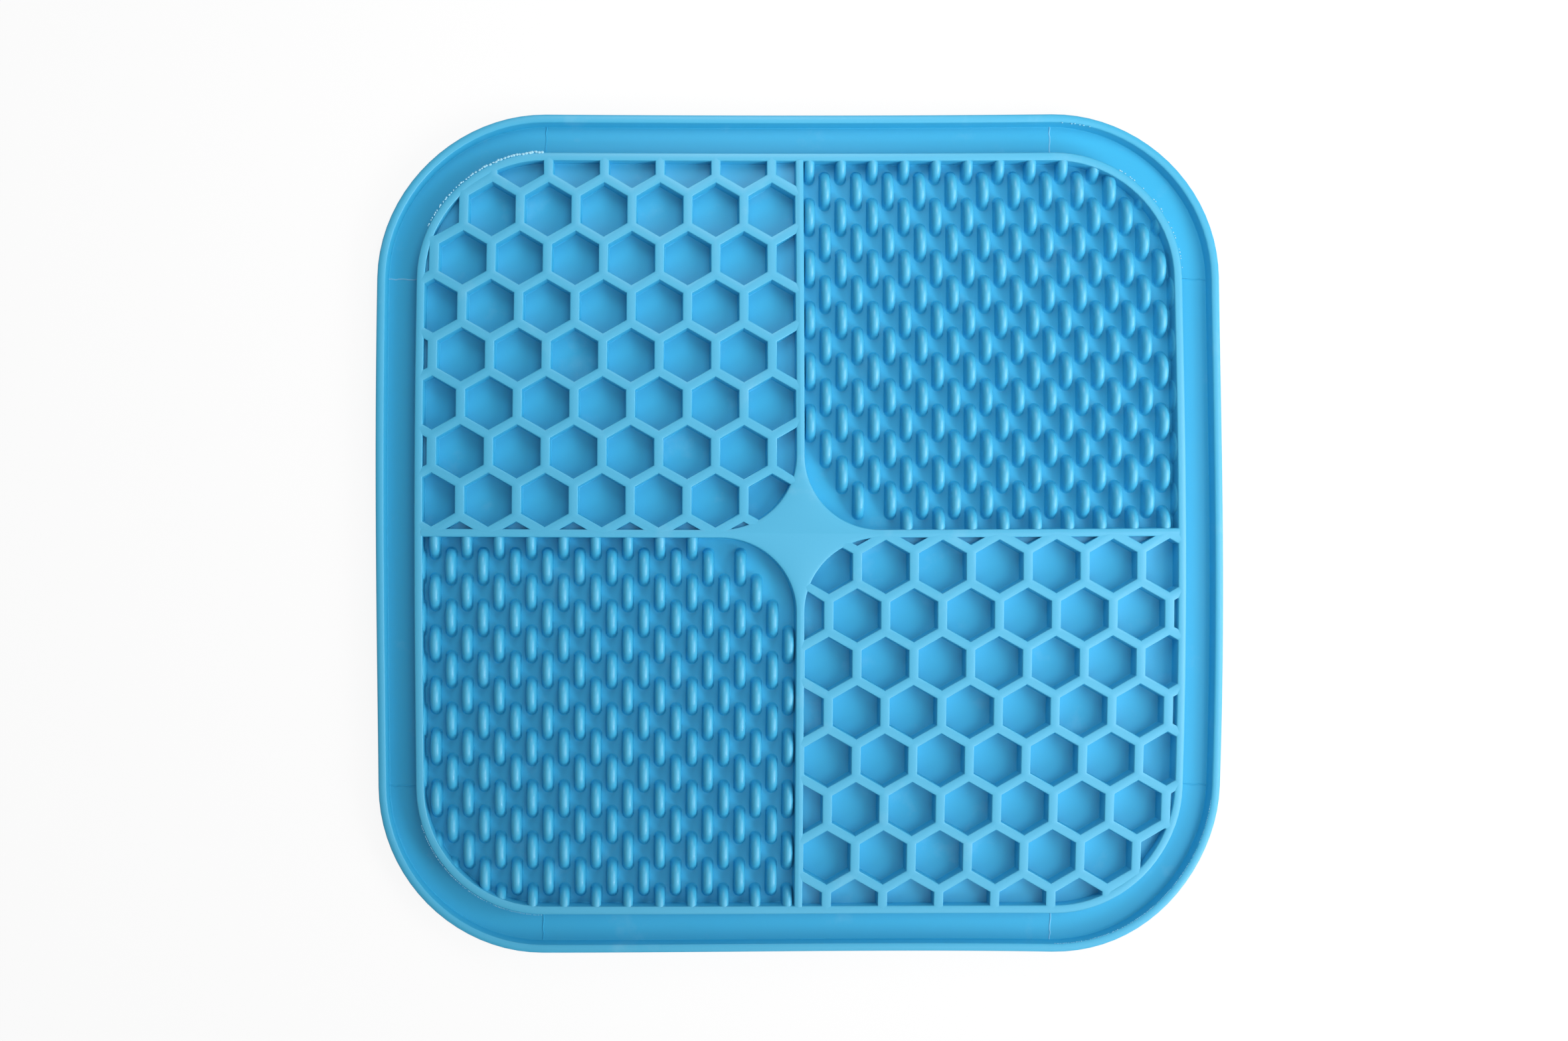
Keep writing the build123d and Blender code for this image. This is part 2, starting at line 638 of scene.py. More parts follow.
@dataclass(frozen=True)
class SoftLie:
    """How the limp mat lies: its sides bow out a little and its front and back edges draw in.

    Attributes:
        half_side: Half of the mat's width.
        side_bow: How far each side bows out at its middle, before the draw.
        side_draw: How far each side draws in.
        end_bow: How far the front and back edges bow out at their middle, before the draw.
        end_draw: How far the front and back edges draw in.
        lean: How far the middle leans to the right.
        dip: How far the middle dips to the front.
        twist: How far the corners are pulled round, along X and along Y.
        skew: How far the back edge shifts to the right, and the right edge to the back.
        left: How far the left edge strays besides.
        right: How far the right edge does.
        front: How far the front edge does.
        back: How far the back edge does.
        stray_start: The share of the way from the middle at which the strays start.
    """

    half_side: float
    side_bow: float = 0.00217
    side_draw: float = 0.00098
    end_bow: float = 0.00021
    end_draw: float = 0.00064
    lean: float = 0.0005
    dip: float = 0.00043
    twist: tuple[float, float] = (-0.00034, -0.00016)
    skew: tuple[float, float] = (0.00017, 0.00008)
    left: EdgeStray = EdgeStray(shift=0.00013, tilt=-0.00108, bow=-0.00057, wave=0.00086)
    right: EdgeStray = EdgeStray(shift=-0.00054, tilt=-0.0006, bow=0.00085, wave=0.00158)
    front: EdgeStray = EdgeStray(shift=0.00014, tilt=0.00051, bow=-0.00138, wave=-0.00146)
    back: EdgeStray = EdgeStray(shift=0.00007, tilt=0.00007, bow=0.00048, wave=0.00019)
    stray_start: float = 0.7

    def pull(self, out: float) -> float:
        """Give how much of an edge's stray a point has, by its share of the way out to the edge."""
        return max(0.0, (out - self.stray_start) / (1 - self.stray_start)) ** 2

    def settle(self, piece: bpy.types.Object) -> None:
        """Move each vertex to where the limp mat holds it.

        Args:
            piece: The finished piece.
        """
        for vertex in piece.data.vertices:
            x = vertex.co.x / self.half_side
            y = vertex.co.y / self.half_side
            across = math.cos(math.pi / 2 * y)
            along = math.cos(math.pi / 2 * x)
            sideways = (self.side_bow * across - self.side_draw) * x + self.lean * across
            endways = (self.end_bow * along - self.end_draw) * y - self.dip * along
            side = self.right if x > 0 else self.left
            end = self.back if y > 0 else self.front
            sideways += self.pull(abs(x)) * side.at(y)
            endways += self.pull(abs(y)) * end.at(x)
            vertex.co.x += sideways + self.twist[0] * x * y + self.skew[0] * y
            vertex.co.y += endways + self.twist[1] * x * y + self.skew[1] * x
        piece.data.update()


@dataclass
class MouldedPiece:
    """What every piece of the mat has.

    Attributes:
        sizes: The sizes that the pieces share.
        finish: The material.
        lie: The way the limp mat lies.
    """

    sizes: MatSizes
    finish: bpy.types.Material
    lie: SoftLie

    def dress(self, piece: bpy.types.Object, *nodes: str) -> bpy.types.Object:
        """Give the piece its finish and put it in place of its CAD nodes.

        Args:
            piece: The finished mesh.
            nodes: The CAD nodes that it stands for.

        Returns:
            The same piece.
        """
        self.lie.settle(piece)
        piece.data.materials.clear()
        piece.data.materials.append(self.finish)
        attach(piece, "root")
        if nodes:
            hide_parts(*nodes)
        log.info("%s: %d faces", piece.name, len(piece.data.polygons))
        return piece

    def round_corners(self, radius: float) -> None:
        """Round the selected corners of a flat outline.

        Args:
            radius: How far from the corner the round starts.
        """
        bpy.ops.mesh.bevel(
            offset=radius,
            offset_type="ABSOLUTE",
            segments=self.sizes.corner_steps,
            affect="VERTICES",
            clamp_overlap=False,
        )

    def rounded_square(self, name: str, half: float, height: float) -> bpy.types.Object:
        """Start a piece as a square face whose corners share the mat's own corner centres.

        Args:
            name: The piece's name.
            half: Half of the square's width.
            height: The height at which it lies.

        Returns:
            The new piece, in edit mode with its face selected.
        """
        piece = start_plane(name, 2 * half, height)
        self.round_corners(half - self.sizes.corner_centre)
        pick_edges(piece, lambda edge: edge.calc_length() > self.sizes.corner_centre)
        bpy.ops.mesh.subdivide(number_cuts=self.sizes.side_cuts)
        pick_faces(piece)
        return piece

    def raise_wall(self, piece: bpy.types.Object) -> None:
        """Raise an outline to a wall with a crowned top and close its underside.

        Args:
            piece: The piece, in edit mode, still flat.
        """
        pick_faces(piece)
        terrace(self.sizes.wall.climb())
        terrace([(self.sizes.crown_inset, self.sizes.wall.crown)])
        close_underside(piece)

    def finish_ring(self, ring: bpy.types.Object, wall: WallProfile, flat: float) -> None:
        """Give a ring its crowned top and its inner face, open its middle and close its underside.

        Args:
            ring: The ring, in edit mode, raised to its top and with its broad face selected.
            wall: The section of its inner face.
            flat: The width of its top between the round edges.
        """
        terrace([(flat / 2, wall.crown), (flat / 2, -wall.crown)])
        terrace(wall.descend())
        pick_faces(ring, lambda face: face.calc_area() > self.sizes.half_side**2)
        bpy.ops.mesh.delete(type="ONLY_FACE")
        pick_edges(ring, lambda edge: edge.is_boundary)
        bpy.ops.mesh.bridge_edge_loops()
        close_mesh(ring)


@dataclass
class BaseSheet(MouldedPiece):
    """The slim sheet under everything, with a rounded lower edge.

    Attributes:
        lower_round: The radius along the lower edge.
        round_steps: Faces round it.
    """

    lower_round: float = 0.0005
    round_steps: int = 3

    def build(self) -> bpy.types.Object:
        """Model the sheet from its underside up.

        Returns:
            The sheet.
        """
        sheet = self.rounded_square("sheet", self.sizes.half_side, 0)
        bpy.ops.mesh.extrude_region_move(TRANSFORM_OT_translate={"value": (0, 0, self.sizes.sheet_top)})
        pick_edges(sheet, lambda edge: all(vertex.co.z < self.lower_round for vertex in edge.verts))
        bpy.ops.mesh.bevel(offset=self.lower_round, segments=self.round_steps, affect="EDGES")
        close_mesh(sheet)
        return self.dress(sheet, "base_sheet")


@dataclass
class OuterRim(MouldedPiece):
    """The low lip round the sheet's edge, upright outside and leaning inside.

    Attributes:
        round_steps: Faces round its outer top edge.
    """

    round_steps: int = 4

    def build(self) -> bpy.types.Object:
        """Model the rim from its outer foot over its top to its inner foot.

        Returns:
            The rim.
        """
        sizes = self.sizes
        wall = sizes.rim_wall
        rim = self.rounded_square("rim", sizes.half_side, sizes.sheet_top)
        upright = wall.shoulder - sizes.rim_round
        bpy.ops.mesh.extrude_region_move(TRANSFORM_OT_translate={"value": (0, 0, upright)})
        turns = [math.pi / 2 * step / self.round_steps for step in range(self.round_steps + 1)]
        for turn, following in zip(turns, turns[1:]):
            inset = sizes.rim_round * (math.cos(turn) - math.cos(following))
            rise = sizes.rim_round * (math.sin(following) - math.sin(turn))
            terrace([(inset, rise)])
        self.finish_ring(rim, wall, sizes.rim_width + sizes.rim_flare - wall.flat_start - sizes.rim_round)
        return self.dress(rim, "outer_rim")


@dataclass
class InnerFrame(MouldedPiece):
    """The taller wall that bounds the four pockets."""

    def build(self) -> bpy.types.Object:
        """Model the frame from its outer foot over its top to its inner foot.

        Returns:
            The frame.
        """
        sizes = self.sizes
        wall = sizes.wall
        ring = self.rounded_square("frame_wall", sizes.frame_foot + wall.foot_reach, sizes.sheet_top)
        terrace(wall.climb())
        self.finish_ring(ring, wall, sizes.frame_width + 2 * (wall.flare - wall.flat_start))
        return self.dress(ring, "inner_frame")


@dataclass
class CentreStar(MouldedPiece):
    """The four-pointed plate in the middle.

    Attributes:
        overrun: How far an arm is made past its end before it is cut.
        slack: The share of a size by which an edge may miss it and still be found.
    """

    overrun: float = 0.004
    slack: float = 0.01

    def build(self) -> bpy.types.Object:
        """Model the star as a plus whose inner corners are rounded, then cut its arms to length.

        Returns:
            The star.
        """
        sizes = self.sizes
        half = sizes.divider_half
        star = start_plane("star", 2 * half, sizes.sheet_top)
        arm = sizes.star_reach + self.overrun - half
        for side in Side:
            way = Vector(side.way)
            pick_edges(star, lambda edge: self.lies_across(edge, way, half))
            bpy.ops.mesh.extrude_region_move(TRANSFORM_OT_translate={"value": way * arm})
        pick_faces(star)
        bpy.ops.mesh.dissolve_faces()
        pick_vertices(star, lambda place: max(abs(place.x), abs(place.y)) < half * (1 + self.slack))
        self.round_corners(sizes.star_reach - half)
        self.raise_wall(star)
        for side in Side:
            cut_off(star, [sizes.star_reach * part for part in side.way], side.way)
        close_mesh(star)
        return self.dress(star, "centre_star")

    def lies_across(self, edge: bmesh.types.BMEdge, way: Vector, half: float) -> bool:
        """Tell whether an edge is the side of the middle square that faces this way.

        Args:
            edge: The edge.
            way: The way from the middle.
            half: Half of the square's width.

        Returns:
            Whether it is.
        """
        middle = (edge.verts[0].co + edge.verts[1].co) / 2
        faces = abs(middle.xy.dot(way.xy) - half) < half * self.slack
        return faces and edge.calc_length() < half * (2 + self.slack)


@dataclass
class Dividers(MouldedPiece):
    """The four straight walls from the star to the frame.

    Attributes:
        overrun: How far a wall is made past its ends before it is cut.
        length_cuts: Cuts along it.
    """

    overrun: float = 0.004
    length_cuts: int = 29

    def build(self) -> list[bpy.types.Object]:
        """Model one divider along +X and copy it for the other three sides.

        Returns:
            The four dividers.
        """
        sizes = self.sizes
        wall = sizes.wall
        start = sizes.star_reach
        end = sizes.pocket_edge + wall.flat_start - wall.flare
        half = sizes.divider_half
        first = start_plane("right_divider", 2 * half, sizes.sheet_top)
        bpy.ops.transform.translate(value=(start - self.overrun + half, 0, 0))
        pick_vertices(first, lambda place: place.x > start - self.overrun + half)
        bpy.ops.transform.translate(value=(end - start + 2 * self.overrun - 2 * half, 0, 0))
        pick_edges(first, lambda edge: edge.calc_length() > sizes.star_reach)
        bpy.ops.mesh.subdivide(number_cuts=self.length_cuts)
        pick_faces(first)
        bpy.ops.mesh.dissolve_faces()
        self.raise_wall(first)
        cut_off(first, (start, 0, 0), (-1, 0, 0))
        cut_off(first, (end, 0, 0), (1, 0, 0))
        close_mesh(first)
        dividers = [first]
        for side in (Side.BACK, Side.LEFT, Side.FRONT):
            dividers.append(own_copy(first, f"{side.name.lower()}_divider", side.value))
        for side, divider in zip(Side, dividers):
            self.dress(divider, f"divider_{side.name.lower()}")
        return dividers


@dataclass
class PocketPattern(MouldedPiece):
    """What fills a pocket, cut along a line that lies inside the walls round it.

    Attributes:
        sunk: How far inside the walls' upper edges that line lies.
    """

    sunk: float = 0.00085

    def trim(self, piece: bpy.types.Object, pocket: Pocket, fill: bool) -> None:
        """Cut a piece to the pocket, a little way into the walls round it.

        Args:
            piece: The piece to cut, in edit mode.
            pocket: The pocket.
            fill: Whether the cuts are closed.
        """
        right = pocket.value
        near = self.sizes.divider_width / 2 - self.sunk
        far = self.sizes.pocket_edge + self.sunk
        for place, normal in (
            ((right * near, 0, 0), (-right, 0, 0)),
            ((right * far, 0, 0), (right, 0, 0)),
            ((0, near, 0), (0, -1, 0)),
            ((0, far, 0), (0, 1, 0)),
        ):
            cut_off(piece, place, normal, fill)
        steps = self.sizes.corner_steps
        for centre, radius, outward in self.sizes.pocket_arcs:
            middle = Vector((right * centre, centre, 0))
            chord = (radius + self.sunk) * math.cos(math.pi / 4 / steps)
            for step in range(steps):
                turn = math.pi / 2 * (step + 0.5) / steps
                normal = Vector((right * outward * math.cos(turn), outward * math.sin(turn), 0))
                cut_off(piece, middle + normal * chord, normal, fill)


@dataclass
class Honeycombs(PocketPattern):
    """The six-sided cells of the back left and front right pockets.

    Attributes:
        cell_pitch: Between the middles of neighbouring cells in a row.
        rib_width: The width of a cell wall's top.
        first_row: From the mat's middle to the first row of whole cells.
        spare_columns: Columns added past the pocket's width, so that the tiles reach past its edges.
        spare_rows: Pairs of rows added past its depth.
        below_walls: How far the tops lie below the walls round the pocket.
        above_sheet: How far the cells' floors lie above the sheet.
        under_floor: How far the comb's outer sides run down into the sheet.
        weld: Corners nearer than this are made one.
        floor_share: The least half width of an opening, in insets of its sides, that leaves it a floor.
        slope_shares: The slopes to try on an opening, as shares of the walls' own.
        depth_shares: For each least half width that shows, the share of the depth to sink it by.
    """

    cell_pitch: float = 0.01335
    rib_width: float = 0.0017
    first_row: float = 0.00793
    spare_columns: int = 3
    spare_rows: int = 1
    below_walls: float = 0.00002
    above_sheet: float = 0.00002
    under_floor: float = 0.0003
    weld: float = 0.00035
    floor_share: float = 2.3
    slope_shares: tuple[float, ...] = (1, 0.6, 0.35, 0.2, 0.1)
    depth_shares: tuple[tuple[float, float], ...] = (
        (0.004, 1), (0.0025, 0.8), (0.0016, 0.65), (0.001, 0.48), (0.0006, 0.3), (0.0003, 0.2), (0, 0.12)
    )

    def build(self) -> list[bpy.types.Object]:
        """Model one honeycomb in the back left pocket and copy it to the opposite one.

        Returns:
            The two honeycombs.
        """
        top = self.sizes.wall_top - self.below_walls
        comb = self.lattice(top)
        self.trim(comb, Pocket.BACK_LEFT, False)
        bpy.ops.mesh.select_all(action="SELECT")
        bpy.ops.mesh.remove_doubles(threshold=self.weld)
        self.sink_cells(comb, top)
        pick_edges(comb, lambda edge: edge.is_boundary)
        drop = top - self.sizes.sheet_top + self.under_floor
        bpy.ops.mesh.extrude_region_move(TRANSFORM_OT_translate={"value": (0, 0, -drop)})
        bpy.ops.mesh.edge_face_add()
        close_mesh(comb)
        opposite = own_copy(comb, "front_right_honeycomb", HALF_TURN)
        return [
            self.dress(comb, "honeycomb_back_left"),
            self.dress(opposite, "honeycomb_front_right"),
        ]

    def lattice(self, top: float) -> bpy.types.Object:
        """Lay out the cells as flat tiles and mark the opening in each.

        Args:
            top: The height at which the tiles lie.

        Returns:
            The tiles, in edit mode, with the openings marked by their material number.
        """
        pitch = self.cell_pitch
        row = pitch * math.sqrt(3) / 2
        bpy.ops.object.select_all(action="DESELECT")
        bpy.ops.mesh.primitive_circle_add(
            vertices=6,
            radius=pitch / math.sqrt(3),
            fill_type="NGON",
            location=(pitch, self.first_row - row, top),
        )
        comb = open_new("back_left_honeycomb")
        bpy.ops.mesh.duplicate_move(TRANSFORM_OT_translate={"value": (-pitch / 2, row, 0)})
        bpy.ops.object.mode_set(mode="OBJECT")
        rows = math.ceil(self.sizes.pocket_edge / (2 * row)) + self.spare_rows
        columns = math.ceil(self.sizes.pocket_edge / pitch) + self.spare_columns
        for name, count, shift in (("columns", columns, (-pitch, 0, 0)), ("rows", rows, (0, 2 * row, 0))):
            array = comb.modifiers.new(name, "ARRAY")
            array.count = count
            array.use_relative_offset = False
            array.use_constant_offset = True
            array.constant_offset_displace = shift
            bpy.ops.object.modifier_apply(modifier=name)
        bpy.ops.object.mode_set(mode="EDIT")
        bpy.ops.mesh.select_all(action="SELECT")
        bpy.ops.mesh.remove_doubles(threshold=self.weld)
        pick_faces(comb)
        terrace([(self.rib_width / 2, -self.sizes.crown)], each=True)
        mesh = bmesh.from_edit_mesh(comb.data)
        for face in mesh.faces:
            face.material_index = int(face.select)
        bmesh.update_edit_mesh(comb.data)
        return comb

    def sink_cells(self, comb: bpy.types.Object, top: float) -> None:
        """Sink every opening to the sheet, a narrow one with steeper sides and a small one by less.

        Args:
            comb: The tiles, in edit mode, cut to the pocket.
            top: The height at which the tiles lie.
        """
        wall = self.sizes.wall
        depth = top - wall.crown - self.sizes.sheet_top - self.above_sheet
        steps = [(inset, rise * depth / wall.shoulder) for inset, rise in wall.descend()]
        reach = sum(inset for inset, _ in steps)
        for slope in self.slope_shares:
            for least_shown, deep in self.depth_shares:
                cells = pick_faces(comb, lambda face: self.suits(face, reach * slope, least_shown))
                if not cells:
                    continue
                mesh = bmesh.from_edit_mesh(comb.data)
                for face in mesh.faces:
                    if face.select:
                        face.material_index = 0
                bmesh.update_edit_mesh(comb.data)
                terrace([(inset * slope, fall * deep) for inset, fall in steps], each=True)
                log.info("%d cells with %.2f of the slope and %.2f of the depth", cells, slope, deep)

    def suits(self, face: bmesh.types.BMFace, inset: float, least_shown: float) -> bool:
        """Tell whether a face is an opening that is wide enough for an inset and shows enough.

        Args:
            face: The face.
            inset: How far its sides would come in.
            least_shown: The least half width that must show outside the walls.

        Returns:
            Whether it suits.
        """
        if face.material_index != 1:
            return False
        whole = [vertex.co.xy for vertex in face.verts]
        shown = [self.outside_walls(place) for place in whole]
        return self.half_gap(whole) > self.floor_share * inset and self.half_gap(shown) >= least_shown

    def outside_walls(self, place: Vector) -> Vector:
        """Move a point of the back left pocket out of the walls round it, as seen from above.

        Args:
            place: The point.

        Returns:
            The point in the pocket, mirrored to the right.
        """
        sizes = self.sizes
        least = sizes.divider_width / 2
        spot = Vector((min(max(part, least), sizes.pocket_edge) for part in (-place.x, place.y)))
        for centre, radius, outward in sizes.pocket_arcs:
            middle = Vector((centre, centre))
            away = spot - middle
            if min(outward * away.x, outward * away.y) > 0 and away.length > radius:
                spot = middle + away.normalized() * radius
        return spot

    @staticmethod
    def half_gap(outline: list[Vector]) -> float:
        """Give about how far an outline's middle is from its sides.

        Args:
            outline: The outline's corners in order.

        Returns:
            Twice its area over its girth, which is exact where a circle touches all sides.
        """
        pairs = list(zip(outline, outline[1:] + outline[:1]))
        area = abs(sum(start.cross(end) for start, end in pairs)) / 2
        girth = sum((end - start).length for start, end in pairs)
        return 2 * area / girth if girth else 0.0


@dataclass
class Nubs(PocketPattern):
    """The staggered nubs of the back right and front left pockets.

    Attributes:
        length: A nub's length, which is twice its height.
        width: Its width.
        column_pitch: From a column of nubs to the next, which is staggered.
        row_pitch: From a nub to the next one in its column.
        first_column: From the mat's middle to the first column.
        first_nub: From the mat's middle to the first nub of that column.
        foot_flare: How far and how high a nub spreads at its foot.
        below_walls: How far its top lies below the walls round the pocket.
        under_floor: How far its foot stands in the sheet.
        arch_steps: Faces along its arch.
        edge_steps: Faces across its rounded edge.
        weld: Corners nearer than this are made one.
        last_shows: How far the last column's nubs stand out of the frame's wall.
    """

    length: float = 0.009
    width: float = 0.0024
    column_pitch: float = 0.0038
    row_pitch: float = 0.0124
    first_column: float = 0.00252
    first_nub: float = 0.00184
    foot_flare: float = 0.0003
    below_walls: float = 0.00004
    under_floor: float = 0.0002
    arch_steps: int = 8
    edge_steps: int = 3
    weld: float = 0.000004
    last_shows: float = 0.00045

    def build(self) -> list[bpy.types.Object]:
        """Model one nub, copy it to every place in the back right pocket, and copy the pocket.

        Returns:
            The two fields of nubs.
        """
        nub = self.one_nub()
        field = scatter(nub, [Matrix.Translation((x, y, 0)) for x, y in self.places()], "back_right_nubs")
        bpy.data.objects.remove(nub)
        bpy.ops.object.mode_set(mode="EDIT")
        self.trim(field, Pocket.BACK_RIGHT, True)
        close_mesh(field)
        opposite = own_copy(field, "front_left_nubs", HALF_TURN)
        return [
            self.dress(field, "nubs_back_right"),
            self.dress(opposite, "nubs_front_left"),
        ]

    def one_nub(self) -> bpy.types.Object:
        """Model a nub as the upper half of a disc with a fully rounded edge.

        Returns:
            The nub at the mat's middle, standing a little way into the sheet.
        """
        floor = self.sizes.sheet_top
        bpy.ops.object.select_all(action="DESELECT")
        bpy.ops.mesh.primitive_cylinder_add(
            vertices=2 * self.arch_steps,
            radius=self.length / 2,
            depth=self.width,
            location=(0, 0, floor - self.below_walls),
            rotation=(0, math.pi / 2, 0),
        )
        nub = open_new("nub")
        pick_edges(nub, lambda edge: abs(edge.verts[0].co.x - edge.verts[1].co.x) < self.width / 2)
        bpy.ops.mesh.bevel(
            offset=self.width / 2, segments=self.edge_steps, affect="EDGES", clamp_overlap=False
        )
        bpy.ops.mesh.select_all(action="SELECT")
        bpy.ops.mesh.remove_doubles(threshold=self.weld)
        cut_off(nub, (0, 0, floor - self.under_floor), (0, 0, -1))
        bpy.ops.mesh.select_all(action="SELECT")
        bpy.ops.mesh.bisect(plane_co=(0, 0, floor + self.foot_flare), plane_no=(0, 0, 1))
        pick_vertices(nub, lambda place: place.z < floor)
        spread_x = 1 + self.foot_flare / (self.width / 2)
        spread_y = 1 + self.foot_flare / (self.length / 2)
        bpy.ops.transform.resize(value=(spread_x, spread_y, 1), center_override=(0, 0, floor))
        return close_mesh(nub)

    def places(self) -> list[tuple[float, float]]:
        """List where the nubs of the back right pocket stand.

        Returns:
            The nubs' places along X and Y, column by column from the middle.
        """
        edge = self.sizes.pocket_edge
        last = edge + self.width / 2 - self.last_shows
        places = []
        for column in range(math.ceil((edge + self.width / 2 - self.first_column) / self.column_pitch)):
            x = self.first_column + column * self.column_pitch
            stagger = self.row_pitch / 2 if column % 2 else 0
            for row in range(math.ceil((edge - self.first_nub) / self.row_pitch) + 1):
                y = self.first_nub + stagger + row * self.row_pitch
                if self.clears_star(x, y):
                    places.append((min(x, last), y))
        return places

    def clears_star(self, x: float, y: float) -> bool:
        """Tell whether a nub ends inside the pocket's round corner beside the star.

        Args:
            x: The nub's place along X.
            y: Its place along Y.

        Returns:
            Whether it does.
        """
        reach = self.sizes.star_reach
        end = max(y - self.length / 2, self.sizes.divider_width / 2)
        return x > reach or end > reach or math.hypot(reach - x, reach - end) < self.sizes.star_radius


@dataclass
class ChannelSeams(MouldedPiece):
    """Low wavy ridges across the channel, where the mould's straight and round parts met.

    Attributes:
        places: For each seam, the side of the mat and 1 or -1 for which end of that side.
        name: The piece's name.
        width: A ridge's width at its foot.
        height: Its height.
        waver: How far it wavers to either side.
        cuts: Cuts along it, each of which wavers by itself.
        top_inset: The share of its width by which each face leans in.
        seed: What the waver starts from.
    """

    places: tuple[tuple[Side, int], ...] = ()
    name: str = "seams"
    width: float = 0.00036
    height: float = 0.00014
    waver: float = 0.00012
    cuts: int = 11
    top_inset: float = 0.3
    seed: int = 11

    def build(self) -> bpy.types.Object:
        """Model one seam and copy it to every place.

        Returns:
            The seams as one piece.
        """
        seam = self.one_seam()
        moves = []
        for side, end in self.places:
            turn = Matrix.Rotation(math.radians(side.value), 4, "Z")
            moves.append(turn @ Matrix.Translation((0, end * self.sizes.corner_centre, 0)))
        seams = scatter(seam, moves, self.name)
        bpy.data.objects.remove(seam)
        return self.dress(seams)

    def one_seam(self) -> bpy.types.Object:
        """Model a ridge along +X from the frame's foot to the rim's foot.

        Returns:
            The ridge, at the middle of the right side.
        """
        sizes = self.sizes
        start = sizes.frame_foot
        run = sizes.half_side - sizes.rim_width - sizes.rim_flare - start
        seam = start_plane("seam", self.width, sizes.sheet_top)
        bpy.ops.transform.translate(value=(start, 0, 0))
        pick_vertices(seam, lambda place: place.x > start)
        bpy.ops.transform.translate(value=(run, 0, 0))
        pick_edges(seam, lambda edge: edge.calc_length() > 2 * self.width)
        bpy.ops.mesh.subdivide(number_cuts=self.cuts)
        chance = random.Random(self.seed)
        for cut in range(1, self.cuts + 1):
            x = start + run * cut / (self.cuts + 1)
            pick_vertices(seam, lambda place: abs(place.x - x) < 2 * self.width)
            bpy.ops.transform.translate(value=(0, chance.uniform(-self.waver, self.waver), 0))
        pick_faces(seam)
        terrace([(self.width * self.top_inset, self.height)])
        close_underside(seam)
        return close_mesh(seam)


@dataclass(frozen=True)
class SpeckRow:
    """A row of torn specks that the mould left along one corner arc.

    Attributes:
        name: The row's name.
        corner: The signs of the corner's X and Y.
        on_rim: Whether it lies on the rim's inner edge, not on the frame's outer edge.
        turns: The angles in degrees at which the row starts and ends.
        spacing: From one speck to the next.
        sizes: The length of a speck at the start and at the end.
        kept: The share of the places that have a speck.
    """

    name: str
    corner: tuple[int, int]
    on_rim: bool
    turns: Span
    spacing: float
    sizes: Span
    kept: float = 1.0


